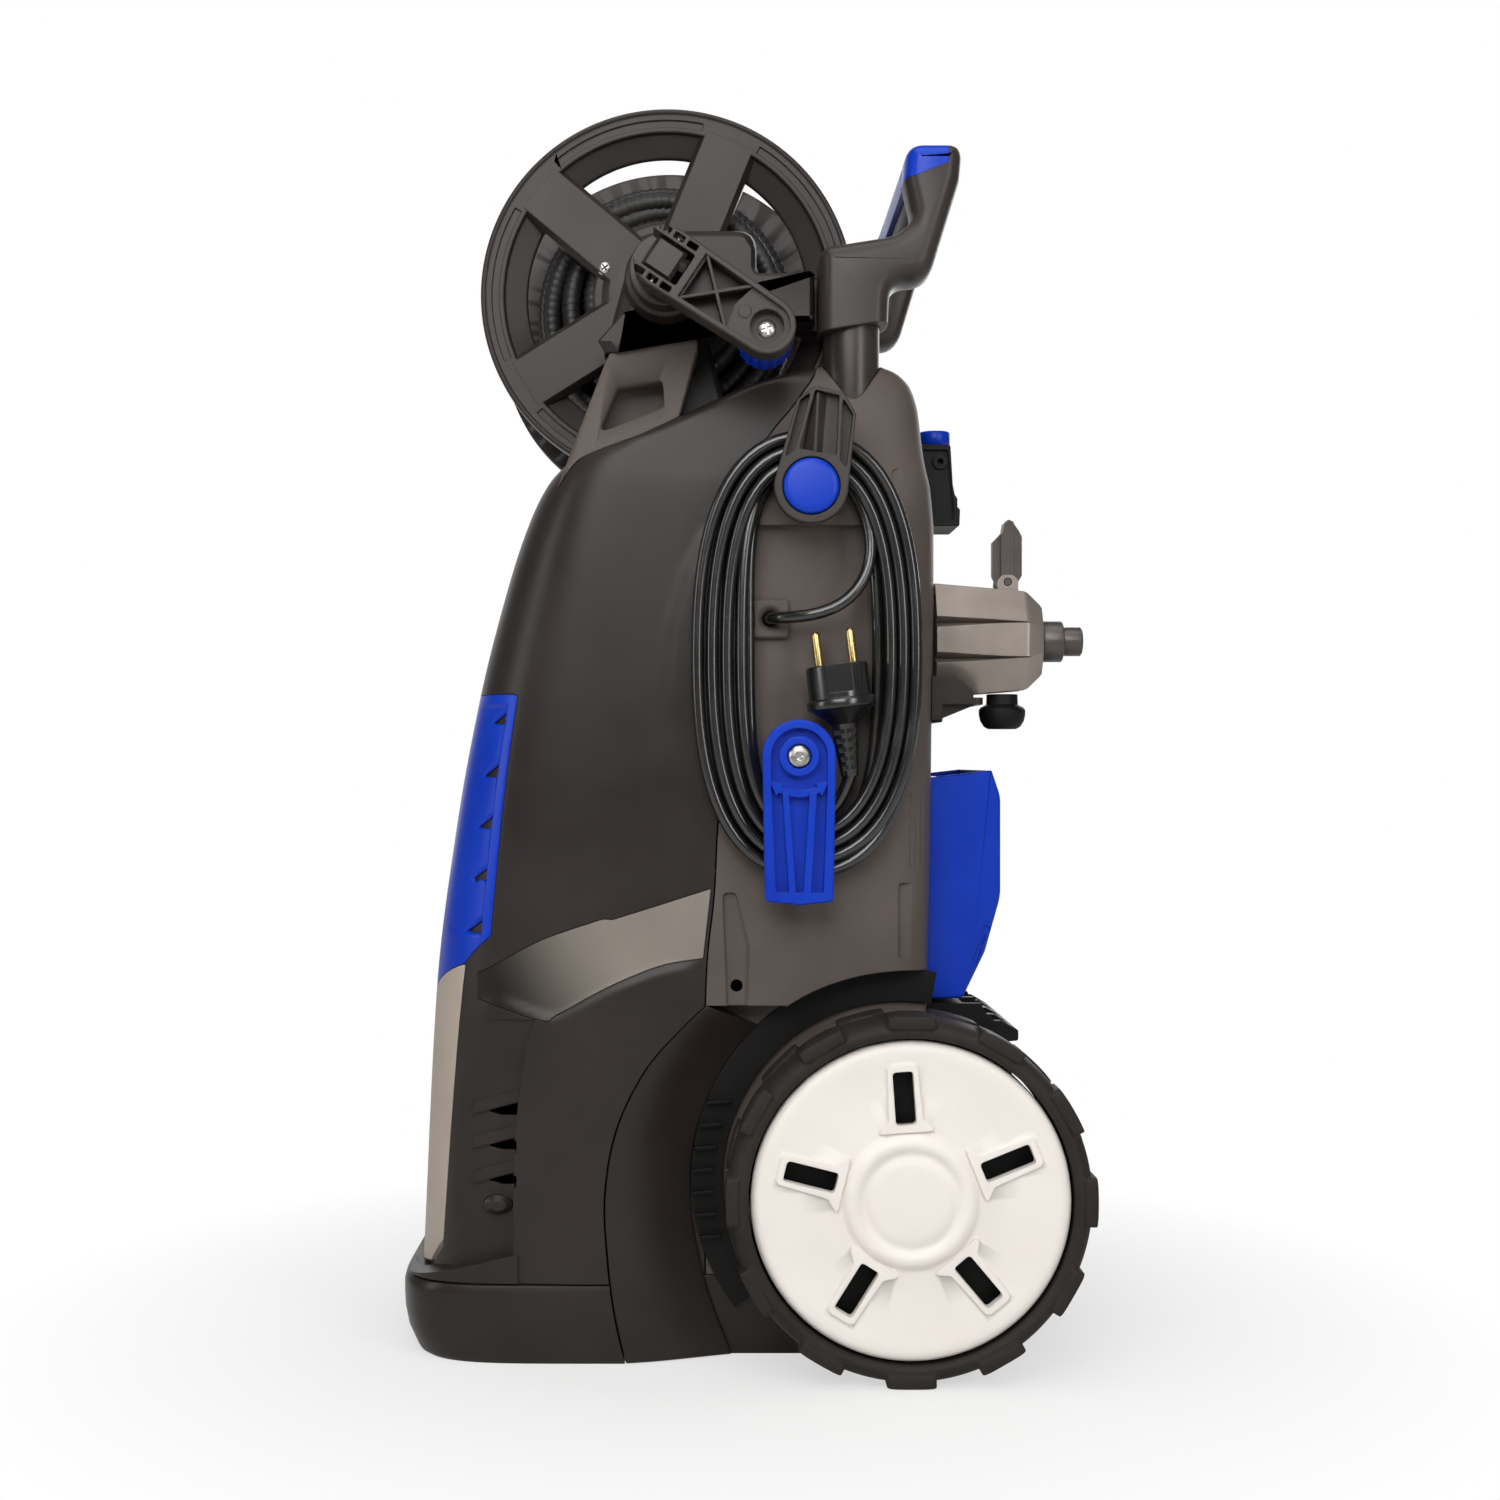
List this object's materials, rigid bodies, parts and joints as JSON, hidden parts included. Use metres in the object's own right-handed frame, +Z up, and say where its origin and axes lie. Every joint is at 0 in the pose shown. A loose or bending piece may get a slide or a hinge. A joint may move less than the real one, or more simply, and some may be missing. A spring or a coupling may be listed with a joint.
{
  "type": "pressure washer",
  "caption": "Upright wheeled pressure washer with a hose reel and fold-out crank on top, a push handle, a wound mains cord on side hooks and a spray gun parked at the back.",
  "frame": {"origin": "under the middle of the machine, on the floor", "axes": "+X to the back (wheels and handle), +Y to the machine's right as seen from behind, +Z up"},
  "size_m": [0.394, 0.336, 0.714],
  "materials": {
    "housing_plastic": "satin brown-black moulding",
    "textured_plastic": "fine-grained brown-black moulding",
    "deep_black_plastic": "plain black moulding",
    "blue_plastic": "blue, slightly glossy",
    "pale_grey_plastic": "pale warm grey",
    "trim_grey_plastic": "silver-grey, satin",
    "handle_tube_steel": "satin grey coated tube",
    "tyre_rubber": "hard black-grey tread",
    "hubcap_plastic": "off-white, soft gloss",
    "bright_steel": "zinc-plated steel",
    "hose_rubber": "ribbed black hose",
    "cord_rubber": "smooth black flex",
    "pump_brass": "cast brass pump head",
    "motor_aluminium": "motor casing"
  },
  "bodies": {
    "machine": {"accessory_holder": "deep_black_plastic", "base_tray": "housing_plastic", "cable_gland": "textured_plastic", "detergent_bin": "blue_plastic", "front_grille": "blue_plastic", "front_shell": "housing_plastic", "front_trim": "pale_grey_plastic", "gun_holder": "housing_plastic", "lance_rest": "deep_black_plastic", "left_arch_panel": "textured_plastic", "left_plug_pin": "bright_steel", "left_reel_bracket": "housing_plastic", "left_reel_post": "housing_plastic", "left_side_trim": "trim_grey_plastic", "lower_hook_screw": "bright_steel", "mains_cord_hank": "cord_rubber", "mains_cord_lead": "cord_rubber", "mains_cord_tail": "cord_rubber", "mains_plug": "cord_rubber", "motor": "motor_aluminium", "pump": "pump_brass", "rear_shell": "textured_plastic", "right_arch_panel": "textured_plastic", "right_plug_pin": "bright_steel", "right_reel_bracket": "housing_plastic", "right_reel_post": "housing_plastic", "right_side_trim": "trim_grey_plastic", "upper_cord_hook": "housing_plastic", "upper_hook_cap": "blue_plastic", "water_inlet": "pale_grey_plastic", "wheel_axle": "bright_steel"},
    "handle": {"handle_moulding": "housing_plastic", "handle_grip_pad": "blue_plastic", "left_handle_tube": "handle_tube_steel", "right_handle_tube": "handle_tube_steel"},
    "reel": {"left_reel_flange": "housing_plastic", "right_reel_flange": "housing_plastic", "reel_drum": "housing_plastic", "hose_winding": "hose_rubber", "hose_fitting": "bright_steel", "reel_shaft": "bright_steel", "crank_pin": "bright_steel"},
    "crank": {"crank_arm": "housing_plastic", "knob_screw": "bright_steel"},
    "knob": {"crank_knob": "blue_plastic"},
    "left_wheel": {"left_wheel_tyre": "tyre_rubber", "left_wheel_rim": "deep_black_plastic", "left_wheel_hubcap": "hubcap_plastic"},
    "right_wheel": {"right_wheel_tyre": "tyre_rubber", "right_wheel_rim": "deep_black_plastic", "right_wheel_hubcap": "hubcap_plastic"},
    "cord_hook": {"lower_cord_hook": "blue_plastic"},
    "switch": {"switch_knob": "blue_plastic"},
    "fan": {"motor_fan": "blue_plastic"},
    "gun": {"gun_body": "housing_plastic", "gun_spigot": "trim_grey_plastic", "gun_inlet_nut": "deep_black_plastic"},
    "trigger": {"gun_trigger": "housing_plastic"},
    "nozzle": {"spare_nozzle": "blue_plastic"}
  },
  "joints": [
    {"name": "handle_slide", "type": "slide", "parent": "machine", "child": "handle", "axis": [0, 0, 1], "range_m": [0, 0.18]},
    {"name": "reel_spin", "type": "hinge", "parent": "machine", "child": "reel", "pos_m": [-0.044, 0, 0.606], "axis": [0, 1, 0], "continuous": true},
    {"name": "crank_fold", "type": "hinge", "parent": "reel", "child": "crank", "pos_m": [-0.044, -0.157, 0.606], "axis": [-0.5519, 0, -0.8339], "range_deg": [0, 180]},
    {"name": "knob_spin", "type": "hinge", "parent": "crank", "child": "knob", "pos_m": [0.01104, -0.132, 0.56957], "axis": [0, 1, 0], "continuous": true},
    {"name": "left_wheel_spin", "type": "hinge", "parent": "machine", "child": "left_wheel", "pos_m": [0.0885, -0.145, 0.1], "axis": [0, 1, 0], "continuous": true},
    {"name": "right_wheel_spin", "type": "hinge", "parent": "machine", "child": "right_wheel", "pos_m": [0.0885, 0.145, 0.1], "axis": [0, 1, 0], "continuous": true},
    {"name": "cord_hook_turn", "type": "hinge", "parent": "machine", "child": "cord_hook", "pos_m": [0.029, -0.135, 0.339], "axis": [0, 1, 0], "range_deg": [0, 120]},
    {"name": "switch_turn", "type": "hinge", "parent": "machine", "child": "switch", "pos_m": [-0.13, 0, 0.428], "axis": [1, 0, 0], "range_deg": [0, 90]},
    {"name": "fan_spin", "type": "hinge", "parent": "machine", "child": "fan", "pos_m": [-0.062, 0, 0.29], "axis": [0, 0, 1], "continuous": true},
    {"name": "gun_lift", "type": "slide", "parent": "machine", "child": "gun", "axis": [0, 0, 1], "range_m": [0, 0.1]},
    {"name": "trigger_pull", "type": "hinge", "parent": "gun", "child": "trigger", "pos_m": [0.153, -0.066, 0.44], "axis": [0, -1, 0], "range_deg": [0, 12], "stiffness_Nm_per_rad": 0.4, "springref_deg": -11.46},
    {"name": "nozzle_lift", "type": "slide", "parent": "machine", "child": "nozzle", "axis": [0, 0, 1], "range_m": [0, 0.05]}
  ]
}
